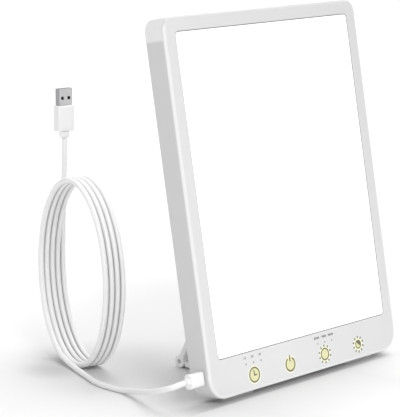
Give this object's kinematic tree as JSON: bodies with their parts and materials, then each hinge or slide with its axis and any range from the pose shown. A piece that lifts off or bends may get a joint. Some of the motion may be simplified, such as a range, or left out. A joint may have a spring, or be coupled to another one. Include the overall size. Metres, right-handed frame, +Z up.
{
  "type": "light therapy lamp",
  "caption": "White tablet-shaped light therapy lamp with a lit screen and touch icons, leaning on a folding rear stand, with its plugged-in coiled charging lead.",
  "frame": {"origin": "centre of the lamp's footprint on the floor, between the panel's front edge and the stand's rear knuckle, measured without the lead", "axes": "+Z up, -Y the way the lit screen faces, +X to the right for a viewer behind the lamp's screen side, so the power socket is on the -X side"},
  "size_m": [0.2294, 0.1942, 0.2566],
  "materials": {
    "shell_plastic": "satin white moulded plastic",
    "lit_diffuser": "opal diffuser, lit",
    "clear_acrylic": "clear polished acrylic",
    "white_film": "matt white",
    "led_board": "white solder mask",
    "circuit_board": "green solder mask",
    "icon_lens": "warm translucent, lit",
    "light_pipe": "translucent, unlit",
    "touch_foam": "conductive foam",
    "plated_steel": "nickel plated",
    "soft_rubber": "matt",
    "black_plastic": "black moulded",
    "nylon": "natural",
    "cord_jacket": "satin white flexible PVC"
  },
  "bodies": {
    "panel": {"front_shell": "shell_plastic", "rear_cover": "shell_plastic", "diffuser_screen": "lit_diffuser", "light_guide_plate": "clear_acrylic", "reflector_sheet": "white_film", "led_strip_left": "led_board", "led_strip_right": "led_board", "control_board": "circuit_board", "timer_icon_lens": "icon_lens", "power_icon_lens": "icon_lens", "brightness_icon_lens": "icon_lens", "colour_icon_lens": "icon_lens", "timer_touch_pad": "touch_foam", "power_touch_pad": "touch_foam", "brightness_touch_pad": "touch_foam", "colour_touch_pad": "touch_foam", "timer_light_1": "light_pipe", "timer_light_2": "light_pipe", "timer_light_3": "light_pipe", "level_light_1": "light_pipe", "level_light_2": "light_pipe", "level_light_3": "light_pipe", "power_socket": "plated_steel", "cover_screw_1": "plated_steel", "cover_screw_2": "plated_steel", "cover_screw_3": "plated_steel", "cover_screw_4": "plated_steel", "cover_screw_5": "plated_steel", "board_screw_1": "plated_steel", "board_screw_2": "plated_steel", "foot_left": "soft_rubber", "foot_right": "soft_rubber", "hinge_bracket_left": "shell_plastic", "hinge_bracket_right": "shell_plastic", "bracket_screw_left": "plated_steel", "bracket_screw_right": "plated_steel", "friction_washer_left": "nylon", "friction_washer_right": "nylon", "hinge_pin": "plated_steel", "lead_plug_tip": "plated_steel", "lead_plug_body": "cord_jacket", "lead_plug_relief": "cord_jacket", "cord_lead": "cord_jacket", "cord_coil": "cord_jacket", "cord_rise": "cord_jacket", "far_plug_relief": "cord_jacket", "far_plug_body": "cord_jacket", "far_plug_shell": "plated_steel", "far_plug_tongue": "black_plastic"},
    "stand_base": {"stand_base_plate": "shell_plastic", "knuckle_pin": "plated_steel"},
    "stand_strut": {"stand_strut": "shell_plastic", "strut_toe": "soft_rubber"}
  },
  "joints": [
    {"name": "base_hinge", "type": "hinge", "parent": "panel", "child": "stand_base", "pos_m": [0, -0.02406, 0.00445], "axis": [1, 0, 0], "range_deg": [0, 79.7]},
    {"name": "strut_hinge", "type": "hinge", "parent": "stand_base", "child": "stand_strut", "pos_m": [0, 0.04206, 0.0045], "axis": [-1, 0, 0], "range_deg": [0, 117.4]}
  ],
  "couplings": [
    {"joint": "strut_hinge", "follows": "base_hinge", "ratio": 1.473}
  ]
}
